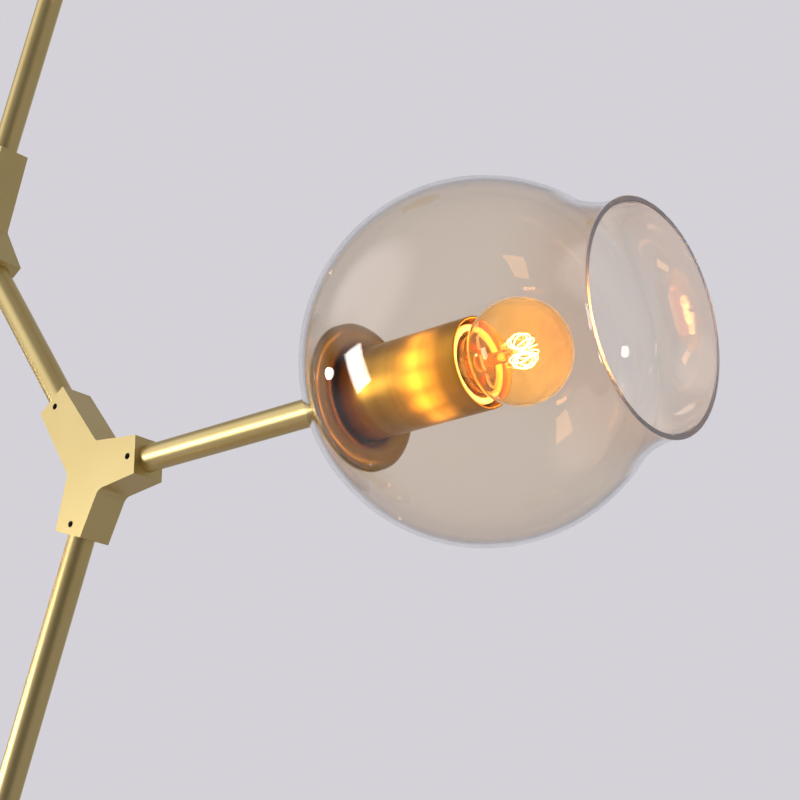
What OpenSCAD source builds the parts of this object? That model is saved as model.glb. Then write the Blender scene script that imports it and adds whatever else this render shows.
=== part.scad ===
// Branching ceiling light: two flat Y blocks on round rods carry three blown glass
// globe shades, each with a lamp cup, a screw lampholder and a small round bulb.
// The origin is on the ceiling, in the middle of the fixing plate. +Z is up, and both
// Y blocks lie in the XZ plane with their screw faces towards -Y.

/* [Layout] */
// Stem that shows between canopy collar and upper block
stem_shown = 290; // [150:5:500]
// Link rod that shows between the two blocks
link_shown = 103; // [60:1:200]
// Rod that shows between lower block and right head
right_shown = 116; // [80:1:250]
// Rod that shows between lower block and drop head
drop_shown = 150; // [80:1:300]
// Rod that shows between upper block and left head
left_shown = 116; // [80:1:250]

/* [Rods] */
// Outside diameter of every rod
rod_d = 12.7; // [12:0.1:14]
// Lead that runs inside the rods, diameter
lead_d = 4.8; // [3.5:0.1:5.2]

/* [Y block] */
// Thickness of the block, front to back
block_t = 17.7; // [17:0.1:24]
// Angle between the long arm and each short arm
arm_angle = 125; // [119:0.5:131]
// Width of an arm at its end
arm_end_w = 18.5; // [17.5:0.1:22]
// Centre to end of the long arm
long_arm = 49; // [38:1:60]
// Centre to end of a short arm
short_arm = 32; // [30:1:50]
// Inner corner beside the long arm, out from that arm's axis
side_corner_out = 11.3; // [10.5:0.1:12.5]
// Inner corner beside the long arm, from the centre towards that arm's end
side_corner_up = 7.2; // [6:0.1:9]
// Inner corner between the short arms, from the centre
fork_corner = 14.7; // [13:0.1:18]
// Fillet in the inner corners
arm_fillet = 3; // [1:0.5:5]
// Solid core left between the centre and each rod socket
block_core = 12; // [11:0.5:15]
// Bore for the lead through the block
lead_bore_d = 8; // [6:0.5:9]
// Grub screw diameter
grub_d = 3; // [2:0.5:4]
// Grub screw axis from the end of its arm
grub_from_end = 4.8; // [3:0.1:8]

/* [Glass shade] */
// Outside diameter of the globe
globe_d = 150; // [130:1:170]
// Thickness of the glass
glass_t = 2; // [1.5:0.1:3]
// Outside diameter at the throat
throat_d = 94.4; // [90:0.1:95]
// Throat from the globe centre
throat_z = 78.5; // [74:0.5:84]
// Outside diameter of the cut rim
rim_d = 95.4; // [95:0.1:104]
// Rim beyond the throat
lip_h = 2.2; // [1.8:0.1:6]
// Hole in the back of the globe
back_hole_d = 48; // [46:0.5:52]

/* [Shade fitting] */
// Outside diameter of the cap behind the glass
cap_d = 66; // [60:1:80]
// Sheet thickness of the cap
cap_t = 1.4; // [1:0.1:2]
// Boss in the middle of the cap, diameter
boss_d = 18; // [16:0.5:24]
// Cap boss behind the cap sheet
boss_step = 0.8; // [0.4:0.1:2]
// Room left for each silicone gasket
gasket_t = 0.8; // [0.5:0.1:1.5]
// Gap between a gasket and each face it lies against
gasket_gap = 0.1; // [0.05:0.01:0.15]
// Outside diameter of the domed ring inside the glass
dish_d = 64.4; // [60:0.2:72]
// Hole in the domed ring
dish_hole_d = 42.8; // [42:0.2:43.6]
// Height of the dome above its edge
dome_h = 3.3; // [2:0.1:4.5]
// Sheet thickness of the ring's well
well_t = 1; // [0.8:0.1:1.2]
// Well floor from the globe's back
well_floor = 3; // [2.8:0.1:5]

/* [Lamp cup] */
// Outside diameter of the cup
cup_d = 39; // [38:0.2:41]
// Wall of the cup
cup_wall = 1; // [0.8:0.1:1.2]
// Floor of the cup
cup_floor = 1.2; // [1:0.1:2]
// Length of the cup
cup_len = 70.2; // [66:0.2:78]
// Threaded tube diameter
nipple_d = 10; // [9:0.5:10]
// Bore of the threaded tube
nipple_bore = 7.2; // [6:0.1:7.5]
// Nut across flats
nut_af = 14; // [13:0.5:16]
// Nut thickness
nut_h = 3.5; // [3:0.5:5]

/* [Lampholder and bulb] */
// Outside diameter of the lampholder body
holder_d = 33.6; // [32:0.2:34]
// Holder face behind the cup mouth
holder_recess = 2.2; // [1:0.1:4]
// Inside diameter of the screw shell
shell_bore = 27; // [26.9:0.05:27.2]
// Thickness of the screw shell
shell_t = 0.5; // [0.3:0.05:0.6]
// Screw shell behind the holder face
shell_recess = 1.5; // [0.5:0.1:3]
// Thickness of the centre contact
contact_t = 1.2; // [0.8:0.1:2]
// Diameter of the bulb
bulb_d = 44; // [42:0.2:46]
// Bulb centre beyond the cup mouth
bulb_out = 18.7; // [17:0.1:20]
// Thickness of the bulb glass
bulb_wall = 0.8; // [0.5:0.1:1]
// Diameter of the bulb cap
bulb_cap_d = 26.4; // [26:0.1:26.5]
// Length of the bulb cap
bulb_cap_len = 25; // [22:0.5:27]
// Bulb cap edge behind the cup mouth
bulb_cap_in = 7.5; // [6:0.1:9]
// Solder tip beyond the bulb cap
tip_len = 1.6; // [1.2:0.1:2]

/* [Ceiling parts] */
// Diameter of the canopy
canopy_d = 120; // [114:1:160]
// Height of the canopy
canopy_h = 34; // [32:1:50]
// Sheet thickness of the canopy
canopy_wall = 1.2; // [0.8:0.1:2]
// Corner radius of the canopy
canopy_r = 6; // [3:0.5:8]
// Collar diameter
collar_d = 22; // [20:1:30]
// Collar height
collar_h = 12; // [10:1:20]
// Width of the fixing plate
plate_w = 22; // [20:1:30]
// Thickness of the fixing plate
plate_t = 2; // [1.5:0.1:3]
// Drop of the plate's middle
plate_drop = 16; // [15:0.5:18]
// Distance between the fixing slots
slot_spacing = 80; // [79:1:82]
// Width of a fixing slot
slot_w = 5; // [4:0.5:6]
// End to end length of a fixing slot
slot_l = 12; // [8:1:12]
// Plate beyond each fixing slot
plate_margin = 4; // [3:0.5:6]

/* [Fits] */
// Radial clearance of a turning or sliding fit
fit = 0.05; // [0.02:0.01:0.1]
// End gap between pieces that move on each other
end_gap = 0.3; // [0.2:0.05:0.5]
// Open clearance round the stem at the canopy
stem_clearance = 0.3; // [0.2:0.05:0.6]

/* [Hidden] */
$fn = 96;
globe_r = globe_d / 2;
inner_r = globe_r - glass_t;
throat_r = throat_d / 2;
rim_r = rim_d / 2;
rim_z = throat_z + lip_h;
// The neck arc is tangent to the globe and to the throat circle.
neck_r = (throat_r * throat_r + throat_z * throat_z - globe_r * globe_r) / (2 * (globe_r - throat_r));
lip_flare = rim_r - throat_r;
lip_r = (lip_h * lip_h + lip_flare * lip_flare) / (2 * lip_flare);
tangent_angle = atan2(throat_z, throat_r + neck_r);

rod_r = rod_d / 2;
lead_r = lead_d / 2;
// Moulded joint where the leads of a block meet, just larger than the leads
lead_joint_r = lead_r + 0.6;
lead_joint_t = lead_d + 0.2;
nipple_r = nipple_d / 2;
// Bore of every rod and hole that the threaded tubes pass through
sleeve_r = nipple_r + fit;

// Depths along a head, measured from the globe centre with + towards the mouth.
cap_in_r = globe_r + gasket_t;
cap_out_r = cap_in_r + cap_t;
boss_back = -(cap_out_r + boss_step);
floor_back = -(globe_r - well_floor);
cup_back = floor_back + well_t;
cup_mouth = cup_back + cup_len;
nut_back = cup_back + cup_floor;
holder_back = nut_back + nut_h;
holder_face = cup_mouth - holder_recess;
nipple_len_in_rod = 14;
nipple_in_holder = 8;
dish_seat_r = inner_r - gasket_t;
dish_r = dish_d / 2;
dish_hole_r = dish_hole_d / 2;
dish_edge_z = -sqrt(dish_seat_r * dish_seat_r - dish_r * dish_r);
dome_half = (dish_r - dish_hole_r) / 2 + 0.4;
dome_r = (dome_half * dome_half + dome_h * dome_h) / (2 * dome_h);
dome_x = dish_r - dome_half;
dome_z = dish_edge_z + dome_h - dome_r;
cup_r = cup_d / 2;
shell_r = shell_bore / 2 + shell_t;
shell_face = holder_face - shell_recess;
bulb_z = cup_mouth + bulb_out;
bulb_r = bulb_d / 2;
bulb_cap_top = cup_mouth - bulb_cap_in;
bulb_cap_base = bulb_cap_top - bulb_cap_len;
bulb_tip = bulb_cap_base - tip_len;
bulb_cap_r = bulb_cap_d / 2;
cap_sheet = 0.6;
bulb_neck_r = bulb_cap_r - cap_sheet;
shell_back = bulb_tip - end_gap - contact_t;
bulb_stem_r = 2.6;
// A lead stops short of the contact, inside the holder's floor.
lead_end = shell_back - 6;

// Places of the blocks and heads. An angle is the tilt from +Z towards +X. The lower
// block lies with its long arm on the link rod, so its second short arm hangs plumb.
link_angle = arm_angle;
left_angle = 360 - arm_angle;
right_angle = 2 * arm_angle - 180;
drop_angle = 180;
upper_block_z = -(canopy_h + collar_h + stem_shown + long_arm);
block_spacing = short_arm + link_shown + long_arm;
function along(angle, d) = [d * sin(angle), 0, d * cos(angle)];
upper_block_at = [0, 0, upper_block_z];
lower_block_at = upper_block_at + along(link_angle, block_spacing);
head_reach = short_arm - boss_back;
right_at = lower_block_at + along(right_angle, head_reach + right_shown);
drop_at = lower_block_at + along(drop_angle, head_reach + drop_shown);
left_at = upper_block_at + along(left_angle, head_reach + left_shown);

// Ceiling parts
plate_l = slot_spacing + slot_l + 2 * plate_margin;
plate_back = -(plate_drop + plate_t);
stem_top = plate_back - nut_h - 1;
nipple_bottom = stem_top - 20;
nipple_top = -plate_drop + nut_h + 0.5;
collar_z = -canopy_h - collar_h / 2;
lead_bend = 5;
rise_from = 31;
terminal_from = 12;
earth_x = 20;
earth_r = 2;

brass = "#c9b06a";
brushed_brass = "#b8924a";
steel = "#b9bcc0";
amber = [0.78, 0.66, 0.5, 0.4];

// Placing: pieces of a head are drawn about the globe centre with the mouth towards +Z.
module at(place, turn) {
    translate(place) rotate([0, turn, 0]) children();
}
module on_right() { at(right_at, right_angle) children(); }
module on_drop() { at(drop_at, drop_angle) children(); }
module on_left() { at(left_at, left_angle) children(); }

// A straight tube or bar between two heights
module tube(r, bore, z0, z1) {
    translate([0, 0, z0]) difference() {
        cylinder(r = r, h = z1 - z0);
        if (bore > 0) translate([0, 0, -1]) cylinder(r = bore, h = z1 - z0 + 2);
    }
}

// Part of a ring in the r-z half plane, between two directions less than 180 apart
module ring_sector(r_out, r_in, from, to) {
    reach = 3 * r_out;
    middle = (from + to) / 2;
    intersection() {
        difference() {
            circle(r = r_out);
            circle(r = r_in);
        }
        polygon([[0, 0], reach * [cos(from), sin(from)], reach * [cos(middle), sin(middle)],
                 reach * [cos(to), sin(to)]]);
    }
}

module hex_nut(z0) {
    difference() {
        translate([0, 0, z0]) cylinder(d = nut_af / cos(30), h = nut_h, $fn = 6);
        translate([0, 0, z0 - 1]) cylinder(r = sleeve_r, h = nut_h + 2);
    }
}

// Glass: globe, tangent neck and flared lip, all of one thickness
module shade() {
    // The arcs run a little into each other, so that they are one piece of glass.
    join = 0.2;
    color(amber) rotate_extrude() difference() {
        union() {
            intersection() {
                ring_sector(globe_r, inner_r, -90, tangent_angle + join);
                translate([0, -globe_d]) square([globe_d, 2 * globe_d]);
            }
            translate([throat_r + neck_r, throat_z])
                ring_sector(neck_r + glass_t, neck_r, 180 - join, 180 + tangent_angle + join);
            translate([throat_r + lip_r, throat_z]) intersection() {
                ring_sector(lip_r + glass_t, lip_r, 90, 180);
                translate([-2 * lip_r, 0]) square([2 * lip_r, lip_h]);
            }
        }
        translate([0, -globe_d]) square([back_hole_d / 2, globe_d]);
    }
}

// Spun cap behind the glass, with the boss that the rod stands on
module outer_cap() {
    color(brass) rotate_extrude() difference() {
        union() {
            intersection() {
                ring_sector(cap_out_r, cap_in_r, -90, 0);
                translate([0, -globe_d]) square([cap_d / 2, globe_d]);
            }
            translate([0, boss_back]) square([boss_d / 2, floor_back - boss_back]);
        }
        translate([0, -globe_d]) square([sleeve_r, 2 * globe_d]);
    }
}

// Two silicone rings, one on each face of the glass
module gaskets() {
    ring_from = back_hole_d / 2 + 1;
    ring_to = dish_r - 1.6;
    color("#d8d4cc") for (inner_face = [globe_r, dish_seat_r]) rotate_extrude() intersection() {
        ring_sector(inner_face + gasket_t - gasket_gap, inner_face + gasket_gap, -90, 0);
        translate([ring_from, -globe_d]) square([ring_to - ring_from, globe_d]);
    }
}

// Domed ring that holds the glass from inside, with a well that the cup stands in
module dish() {
    color(brushed_brass) rotate_extrude() {
        intersection() {
            translate([dome_x, dome_z]) circle(r = dome_r);
            circle(r = dish_seat_r);
            translate([dish_hole_r, -globe_d]) square([dish_r - dish_hole_r, globe_d]);
        }
        difference() {
            translate([0, floor_back]) square([dish_hole_r + well_t, dish_edge_z + 1 - floor_back]);
            translate([0, cup_back]) square([dish_hole_r, globe_d]);
            translate([0, -globe_d]) square([sleeve_r, 2 * globe_d]);
        }
    }
}

// Threaded tube from the rod end to the lampholder, with its nut in the cup
module nipple() {
    color(steel) {
        tube(nipple_r, nipple_bore / 2, boss_back - nipple_len_in_rod, holder_back + nipple_in_holder);
        hex_nut(nut_back);
    }
}

module cup() {
    color(brushed_brass) difference() {
        tube(cup_r, sleeve_r, cup_back, cup_mouth);
        translate([0, 0, nut_back]) cylinder(r = cup_r - cup_wall, h = cup_len);
    }
}

module lampholder() {
    color("#efe6cf") difference() {
        tube(holder_d / 2, lead_r + 0.1, holder_back, holder_face);
        translate([0, 0, shell_back]) cylinder(r = shell_r + fit, h = cup_len);
        translate([0, 0, holder_back - 1]) cylinder(r = sleeve_r, h = nipple_in_holder + 1);
    }
}

module screw_shell() {
    color(brass) tube(shell_r, shell_bore / 2, shell_back, shell_face);
}

// Sprung tongue that meets the bulb's centre contact
module contact() {
    color(brass) translate([-4, -2, shell_back]) cube([8, 4, contact_t]);
}

// Bulb outline in the r-z half plane: ball and short neck
module bulb_profile(shrink) {
    translate([0, bulb_z]) circle(r = bulb_r - shrink);
    translate([0, bulb_cap_top - shrink]) square([bulb_neck_r - shrink, bulb_out]);
}

module bulb_glass() {
    color([0.95, 0.9, 0.8, 0.35]) rotate_extrude() intersection() {
        difference() {
            bulb_profile(0);
            bulb_profile(bulb_wall);
        }
        translate([0, bulb_cap_top]) square([bulb_d, 2 * bulb_d]);
    }
}

// Metal screw cap with its insulator and centre contact, closed below
module bulb_cap() {
    z0 = bulb_cap_base;
    inside_r = bulb_neck_r - cap_sheet;
    color(steel) rotate_extrude()
        polygon([[0, bulb_tip], [3.5, bulb_tip], [5, z0 - 0.6], [9, z0], [bulb_cap_r, z0 + 2.5],
                 [bulb_cap_r, bulb_cap_top + 1], [bulb_neck_r + fit, bulb_cap_top + 1],
                 [bulb_neck_r + fit, bulb_cap_top], [inside_r, bulb_cap_top],
                 [inside_r, z0 + 3], [0, z0 + 3]]);
}

// Flared glass stem that carries the filament
module bulb_stem() {
    flare_r = bulb_neck_r - bulb_wall - 0.1;
    color([0.95, 0.95, 0.9, 0.5]) rotate_extrude() polygon([[0, bulb_cap_top], [flare_r, bulb_cap_top],
        [4, bulb_cap_top + 4], [bulb_stem_r, bulb_cap_top + 8], [bulb_stem_r, bulb_z - 6], [1, bulb_z - 4],
        [1, bulb_z + 4], [0, bulb_z + 4]]);
}

// Coiled filament bent round the stem: the thin sleeve that its turns lie on, and its hooks
module filament() {
    ring_r = 5.2;
    ring_z = bulb_z + 1;
    coil_r = 3.1;
    coil_t = 0.2;
    wire_r = 0.3;
    foot_r = bulb_stem_r + wire_r;
    foot_z = bulb_z - 7;
    color("#ffb347") {
        translate([0, 0, ring_z]) rotate([0, 0, -60]) rotate_extrude(angle = 300)
            translate([ring_r, 0]) difference() {
                circle(r = coil_r);
                circle(r = coil_r - coil_t);
            }
        for (turn = [-45, 45, 135, 225]) rotate([0, 0, turn]) translate([foot_r, 0, foot_z])
            rotate([0, atan2(ring_r - foot_r, ring_z - foot_z), 0])
                cylinder(r = wire_r, h = norm([ring_r - foot_r, ring_z - foot_z]));
    }
}

// Rod of a head, from its socket in the block to the cap boss
module head_rod(shown) {
    color(brass) tube(rod_r, sleeve_r, boss_back - shown - short_arm + block_core, boss_back);
}

// Every arm of a block: its angle from the long arm, and its length
ARMS = [[0, long_arm], [arm_angle, short_arm], [360 - arm_angle, short_arm]];

// Outline of the block in the XZ plane, long arm towards +Z
module block_outline() {
    half = arm_end_w / 2;
    function arm_end(arm, side) = [arm[1] * sin(arm[0]) + side * half * cos(arm[0]),
                                   arm[1] * cos(arm[0]) - side * half * sin(arm[0])];
    offset(r = -arm_fillet) offset(delta = arm_fillet) polygon([
        arm_end(ARMS[0], -1), arm_end(ARMS[0], 1), [side_corner_out, side_corner_up],
        arm_end(ARMS[1], -1), arm_end(ARMS[1], 1), [0, -fork_corner],
        arm_end(ARMS[2], -1), arm_end(ARMS[2], 1), [-side_corner_out, side_corner_up]]);
}

// Places children at the grub screw of every arm, with +Z out of the front face
module at_grubs() {
    for (arm = ARMS) translate(along(arm[0], arm[1] - grub_from_end)) rotate([90, 0, 0]) children();
}

module y_block() {
    color(brass) difference() {
        rotate([90, 0, 0]) linear_extrude(height = block_t, center = true) block_outline();
        for (arm = ARMS) rotate([0, arm[0], 0]) {
            cylinder(d = lead_bore_d, h = block_core + 1);
            translate([0, 0, block_core]) cylinder(r = rod_r + fit, h = arm[1]);
        }
        sphere(d = lead_bore_d);
        at_grubs() cylinder(r = grub_d / 2 + fit, h = block_t);
    }
}

// Grub screws with their hex sockets, just below the front face
module block_screws() {
    depth = block_t / 2 - rod_r - fit - 0.5;
    color("#4a4640") at_grubs() difference() {
        translate([0, 0, rod_r + fit]) cylinder(d = grub_d, h = depth);
        translate([0, 0, rod_r + fit + depth / 2]) cylinder(d = grub_d / 2, h = depth, $fn = 6);
    }
}

// Rod between the blocks: fixed in the upper one, turning in the lower one
module link_rod() {
    color(brass) at(upper_block_at, link_angle)
        tube(rod_r, sleeve_r, block_core, block_spacing - block_core - end_gap);
}

module stem() {
    color(brass) tube(rod_r, sleeve_r, upper_block_z + block_core, stem_top);
}

// Leads on the axes of the rods, met in a moulded joint in the middle of a block
module wiring(runs) {
    color("#e8e4da") {
        rotate([90, 0, 0]) cylinder(r = lead_joint_r, h = lead_joint_t, center = true);
        for (run = runs) rotate([0, run[0], 0]) cylinder(r = lead_r, h = run[1]);
    }
}
module upper_wiring() {
    translate(upper_block_at) wiring([
        [0, nipple_bottom - end_gap - upper_block_z],
        [link_angle, block_spacing - block_core - end_gap],
        [left_angle, head_reach + left_shown + lead_end]]);
}
module lower_wiring() {
    translate(lower_block_at) wiring([
        [link_angle + 180, block_core],
        [right_angle, head_reach + right_shown + lead_end],
        [drop_angle, head_reach + drop_shown + lead_end]]);
}

// Fixing plate: flat ends on the ceiling, middle dropped for the nut and the terminals
module ceiling_plate() {
    half = plate_l / 2;
    step = plate_t;
    color(steel) difference() {
        rotate([90, 0, 0]) linear_extrude(height = plate_w, center = true) union() {
            translate([-half, -step]) square([half - rise_from + step, step]);
            translate([rise_from - step, -step]) square([half - rise_from + step, step]);
            for (side = [-rise_from, rise_from - step]) translate([side, -plate_drop - step])
                square([step, plate_drop + step]);
            translate([-rise_from, -plate_drop - step]) square([2 * rise_from, step]);
        }
        translate([0, 0, -plate_drop - plate_t - 1]) cylinder(r = sleeve_r, h = plate_t + 2);
        translate([-earth_x, 0, -plate_drop - plate_t - 1]) cylinder(r = earth_r + fit, h = plate_t + 2);
        for (side = [-1, 1]) translate([side * slot_spacing / 2, 0, -plate_t - 1]) slot();
    }
}
module slot() {
    run = slot_l - slot_w;
    translate([-run / 2, -slot_w / 2, 0]) cube([run, slot_w, plate_t + 2]);
    for (side = [-1, 1]) translate([side * run / 2, 0, 0]) cylinder(d = slot_w, h = plate_t + 2);
}

// Short threaded tube that the stem hangs on
module plate_nipple() {
    color(steel) tube(nipple_r, nipple_bore / 2, nipple_bottom, nipple_top);
}
module plate_nuts() {
    color(steel) {
        hex_nut(-plate_drop);
        hex_nut(plate_back - nut_h);
    }
}

// Three-way terminal block with its wire entries and screw wells
module terminal_block() {
    size = [16, 21, plate_drop - 4];
    pitch = 7;
    entry_z = nipple_top + lead_bend;
    color("#ececec") difference() {
        translate([terminal_from, -size[1] / 2, -plate_drop]) cube(size);
        for (way = [-1, 0, 1]) {
            translate([terminal_from + 6, way * pitch, entry_z]) rotate([0, 90, 0]) cylinder(r = 1.8, h = size[0]);
            translate([terminal_from + 11, way * pitch, entry_z]) cylinder(r = 1.6, h = size[2]);
        }
    }
}

// Earth screw with its washer
module earth_screw() {
    color(steel) translate([-earth_x, 0, 0]) {
        tube(5, earth_r + fit, -plate_drop, -plate_drop + 0.8);
        translate([0, 0, -plate_drop + 0.8]) cylinder(r = 4, h = 2.6);
        translate([0, 0, plate_back - 4]) cylinder(r = earth_r, h = plate_t + 4.8);
    }
}

// Lead from the terminal block, bent down into the threaded tube
module supply_lead() {
    color("#e8e4da") {
        translate([0, 0, nipple_bottom]) cylinder(r = lead_r, h = nipple_top - nipple_bottom);
        translate([lead_bend, 0, nipple_top]) rotate([-90, 180, 0]) rotate_extrude(angle = 90)
            translate([lead_bend, 0]) circle(r = lead_r);
        translate([lead_bend, 0, nipple_top + lead_bend]) rotate([0, 90, 0])
            cylinder(r = lead_r, h = terminal_from - lead_bend);
    }
}

// Half outline of a pan that opens upwards, with a rounded bottom corner
module pan_outline(r, h, corner) {
    translate([0, -h]) square([r - corner, h]);
    translate([0, corner - h]) square([r, h - corner]);
    translate([r - corner, corner - h]) circle(r = corner);
}
module canopy() {
    color(brass) rotate_extrude() difference() {
        pan_outline(canopy_d / 2, canopy_h, canopy_r);
        translate([0, 1]) pan_outline(canopy_d / 2 - canopy_wall, canopy_h - canopy_wall + 1, canopy_r - canopy_wall);
        translate([0, -canopy_h - 1]) square([rod_r + stem_clearance, canopy_h]);
    }
}

// Collar that locks the canopy on the stem, and its grub screw
module canopy_collar() {
    color(brass) difference() {
        tube(collar_d / 2, rod_r + fit, -canopy_h - collar_h, -canopy_h);
        translate([0, 0, collar_z]) rotate([90, 0, 0]) cylinder(r = grub_d / 2 + fit, h = collar_d);
    }
}
module collar_screw() {
    length = collar_d / 2 - rod_r - fit - 0.6;
    color("#4a4640") translate([0, 0, collar_z]) rotate([90, 0, 0]) difference() {
        translate([0, 0, rod_r + fit]) cylinder(d = grub_d, h = length);
        translate([0, 0, rod_r + fit + length / 2]) cylinder(d = grub_d / 2, h = length, $fn = 6);
    }
}

module upper_block() { at(upper_block_at, 0) y_block(); }
module lower_block() { at(lower_block_at, link_angle + 180) y_block(); }
module upper_block_screws() { at(upper_block_at, 0) block_screws(); }
module lower_block_screws() { at(lower_block_at, link_angle + 180) block_screws(); }

ceiling_plate();
plate_nipple();
plate_nuts();
terminal_block();
earth_screw();
supply_lead();
canopy();
canopy_collar();
collar_screw();
stem();
upper_block();
upper_block_screws();
link_rod();
upper_wiring();
lower_block();
lower_block_screws();
lower_wiring();
on_right() head_rod(right_shown);  // right_rod
on_right() outer_cap();  // right_cap
on_right() gaskets();  // right_gaskets
on_right() shade();  // right_shade
on_right() dish();  // right_dish
on_right() nipple();  // right_nipple
on_right() cup();  // right_cup
on_right() lampholder();  // right_lampholder
on_right() screw_shell();  // right_screw_shell
on_right() contact();  // right_contact
on_right() bulb_glass();  // right_bulb_glass
on_right() bulb_cap();  // right_bulb_cap
on_right() bulb_stem();  // right_bulb_stem
on_right() filament();  // right_filament
on_drop() head_rod(drop_shown);  // drop_rod
on_drop() outer_cap();  // drop_cap
on_drop() gaskets();  // drop_gaskets
on_drop() shade();  // drop_shade
on_drop() dish();  // drop_dish
on_drop() nipple();  // drop_nipple
on_drop() cup();  // drop_cup
on_drop() lampholder();  // drop_lampholder
on_drop() screw_shell();  // drop_screw_shell
on_drop() contact();  // drop_contact
on_drop() bulb_glass();  // drop_bulb_glass
on_drop() bulb_cap();  // drop_bulb_cap
on_drop() bulb_stem();  // drop_bulb_stem
on_drop() filament();  // drop_filament
on_left() head_rod(left_shown);  // left_rod
on_left() outer_cap();  // left_cap
on_left() gaskets();  // left_gaskets
on_left() shade();  // left_shade
on_left() dish();  // left_dish
on_left() nipple();  // left_nipple
on_left() cup();  // left_cup
on_left() lampholder();  // left_lampholder
on_left() screw_shell();  // left_screw_shell
on_left() contact();  // left_contact
on_left() bulb_glass();  // left_bulb_glass
on_left() bulb_cap();  // left_bulb_cap
on_left() bulb_stem();  // left_bulb_stem
on_left() filament();  // left_filament
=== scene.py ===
# %% [markdown]
# # A branching ceiling light, dressed for its portrait
# The light hangs from a canopy on a thin stem. Flat Y blocks join the rods, and each rod
# ends in a blown amber globe with a small round bulb inside. The construction is already
# there as a fixed frame of solids, so this script only makes surfaces: it turns, bevels
# and winds the pieces that show, gives every piece a material, and lights the set.

# %% Load the frame
import math
import bmesh
import bpy
from mathutils import Matrix, Quaternion, Vector


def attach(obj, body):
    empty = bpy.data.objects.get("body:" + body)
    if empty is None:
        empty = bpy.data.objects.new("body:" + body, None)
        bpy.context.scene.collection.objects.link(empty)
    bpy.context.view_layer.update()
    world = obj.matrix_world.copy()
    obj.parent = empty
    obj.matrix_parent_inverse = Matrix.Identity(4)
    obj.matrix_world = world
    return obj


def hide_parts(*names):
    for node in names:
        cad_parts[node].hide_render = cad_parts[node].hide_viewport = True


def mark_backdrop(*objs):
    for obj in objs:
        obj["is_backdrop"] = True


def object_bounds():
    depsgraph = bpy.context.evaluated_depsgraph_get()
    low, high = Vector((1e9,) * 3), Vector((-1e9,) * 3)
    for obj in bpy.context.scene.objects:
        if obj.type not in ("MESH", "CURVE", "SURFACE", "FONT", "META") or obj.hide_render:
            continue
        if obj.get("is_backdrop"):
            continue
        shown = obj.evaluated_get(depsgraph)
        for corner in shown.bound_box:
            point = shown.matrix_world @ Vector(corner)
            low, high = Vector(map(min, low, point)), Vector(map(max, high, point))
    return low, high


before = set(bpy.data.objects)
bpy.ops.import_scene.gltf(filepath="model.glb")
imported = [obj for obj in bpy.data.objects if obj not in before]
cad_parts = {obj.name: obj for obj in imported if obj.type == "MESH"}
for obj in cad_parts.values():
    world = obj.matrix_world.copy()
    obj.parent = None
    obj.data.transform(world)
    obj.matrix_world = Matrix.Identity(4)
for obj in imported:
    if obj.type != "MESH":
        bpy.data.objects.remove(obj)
cad_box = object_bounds()

# %% [markdown]
# ## Where things are
# All lengths are millimetres, as on the maker's drawing, and one factor turns them to
# metres. A head is described about the centre of its globe, with +Z towards the mouth, so
# three heads need one description and three placings. A placing is a tilt about Y, counted
# from +Z towards +X, and a point in the XZ plane.

# %% Layout
MM = 0.001
LONG_ARM = 49.0
SHORT_ARM = 32.0
BLOCK_T = 17.7
STEM_SHOWN = 290.0
LINK_SHOWN = 103.0
CANOPY_H = 34.0
COLLAR_H = 12.0
ROD_R = 6.35
BOSS_BACK = -78.0
ARM_ANGLE = 125


def along(turn, distance):
    angle = math.radians(turn)
    return Vector((distance * math.sin(angle), 0.0, distance * math.cos(angle)))


def placing(point, turn):
    tilt = Matrix.Rotation(math.radians(turn), 4, "Y")
    return Matrix.Scale(MM, 4) @ Matrix.Translation(point) @ tilt


UPPER_BLOCK = Vector((0, 0, -(CANOPY_H + COLLAR_H + STEM_SHOWN + LONG_ARM)))
LOWER_BLOCK = UPPER_BLOCK + along(ARM_ANGLE, SHORT_ARM + LINK_SHOWN + LONG_ARM)
ROD_SHOWN = {"right": 116.0, "drop": 150.0, "left": 116.0}
HEAD_TURN = {"right": 2 * ARM_ANGLE - 180, "drop": 180, "left": 360 - ARM_ANGLE}
HEAD_FROM = {"right": LOWER_BLOCK, "drop": LOWER_BLOCK, "left": UPPER_BLOCK}
HEAD_BODY = {"right": "lower_frame", "drop": "lower_frame", "left": "upper_frame"}
GLOBE_AT = {
    head: HEAD_FROM[head] + along(turn, SHORT_ARM + ROD_SHOWN[head] - BOSS_BACK)
    for head, turn in HEAD_TURN.items()
}
HEAD_PLACE = {head: placing(GLOBE_AT[head], HEAD_TURN[head]) for head in HEAD_TURN}
print("right globe centre, mm:", [round(c, 1) for c in GLOBE_AT["right"]])

# %% [markdown]
# ## Camera first
# A photograph with strong perspective fixes the camera well: the block's corners give its
# place and three directions, and the rim of the shade gives the tilt. The camera looks up
# at the light from its front right, a little from below, and is rolled, which makes the
# vertical stem lean in the picture. It is placed by where the lower block lies in its view.

# %% Camera
VIEW_AZIMUTH = 43.05
VIEW_ELEVATION = -6.77
VIEW_ROLL = 15.38
LENS_MM = 91.5
SENSOR_MM = 36.0
BLOCK_RIGHT, BLOCK_UP, BLOCK_DEPTH = -140.4, -33.98, 954.7


def in_scene(name, data):
    """A new object of the scene: a mesh, a lamp or a camera is only its data."""
    made = bpy.data.objects.new(name, data)
    bpy.context.scene.collection.objects.link(made)
    return made


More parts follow.
